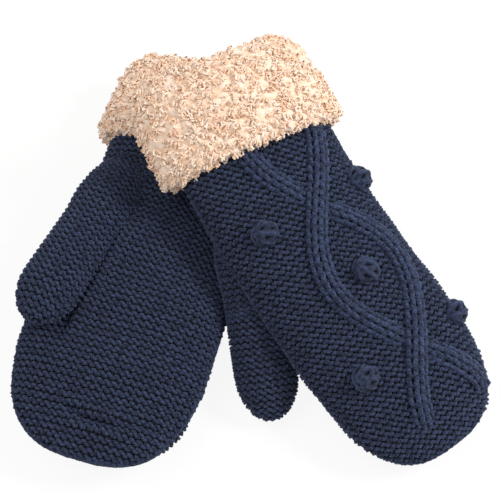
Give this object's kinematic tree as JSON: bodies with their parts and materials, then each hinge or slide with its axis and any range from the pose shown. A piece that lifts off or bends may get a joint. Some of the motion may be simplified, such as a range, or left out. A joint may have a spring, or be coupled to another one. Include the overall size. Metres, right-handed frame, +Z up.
{
  "type": "pair of knitted mittens",
  "caption": "Pair of cable-knit pull-on mittens with fleece linings and turned-back fleece cuffs, one palm up and one palm down with its cuff laid on the other.",
  "frame": {"origin": "middle of the base of the pair's box, on the surface that the mittens lie on", "axes": "+Z up, fingertips towards -Y, cuffs towards +Y, the palm-up right mitten on the -X side"},
  "size_m": [0.2658, 0.2562, 0.0999],
  "materials": {
    "hand_knit": "thick navy wool-blend yarn, reverse stockinette",
    "cable_knit": "thick navy yarn, knit-side cable strands",
    "bobble_yarn": "navy yarn wound into bobbles",
    "cuff_fleece": "beige curly bouclé fleece",
    "lining_fleece": "beige curly fleece, pile inwards"
  },
  "bodies": {
    "right_hand": {"right_palm_panel": "hand_knit", "right_back_panel": "hand_knit", "right_edge_seam": "hand_knit", "right_cable_strand_over": "cable_knit", "right_cable_strand_under": "cable_knit", "right_bobbles": "bobble_yarn", "right_hand_lining": "lining_fleece", "right_wrist_seam": "lining_fleece"},
    "right_thumb": {"right_thumb_knit": "hand_knit", "right_thumb_lining": "lining_fleece"},
    "right_cuff": {"right_turned_cuff": "cuff_fleece", "right_cuff_hem": "cuff_fleece"},
    "left_hand": {"left_palm_panel": "hand_knit", "left_back_panel": "hand_knit", "left_edge_seam": "hand_knit", "left_cable_strand_over": "cable_knit", "left_cable_strand_under": "cable_knit", "left_bobbles": "bobble_yarn", "left_hand_lining": "lining_fleece", "left_wrist_seam": "lining_fleece"},
    "left_thumb": {"left_thumb_knit": "hand_knit", "left_thumb_lining": "lining_fleece"},
    "left_cuff": {"left_turned_cuff": "cuff_fleece", "left_cuff_hem": "cuff_fleece"}
  },
  "joints": [
    {"name": "right_thumb_swing", "type": "hinge", "parent": "right_hand", "child": "right_thumb", "pos_m": [-0.08312, 0.02614, 0.03602], "axis": [0, 0, -1], "range_deg": [0, 30]},
    {"name": "right_cuff_unroll", "type": "slide", "parent": "right_hand", "child": "right_cuff", "axis": [0.2823, 0.9593, 0], "range_m": [0, 0.046]},
    {"name": "left_mitten_lift", "type": "slide", "parent": "right_hand", "child": "left_hand", "axis": [0, 0, 1], "range_m": [0, 0.15]},
    {"name": "left_thumb_swing", "type": "hinge", "parent": "left_hand", "child": "left_thumb", "pos_m": [-0.00155, -0.01344, 0.04185], "axis": [-0.102, 0.2493, -0.963], "range_deg": [-15, 0]},
    {"name": "left_cuff_unroll", "type": "slide", "parent": "left_hand", "child": "left_cuff", "axis": [-0.4774, 0.837, 0.2672], "range_m": [0, 0.046]}
  ]
}
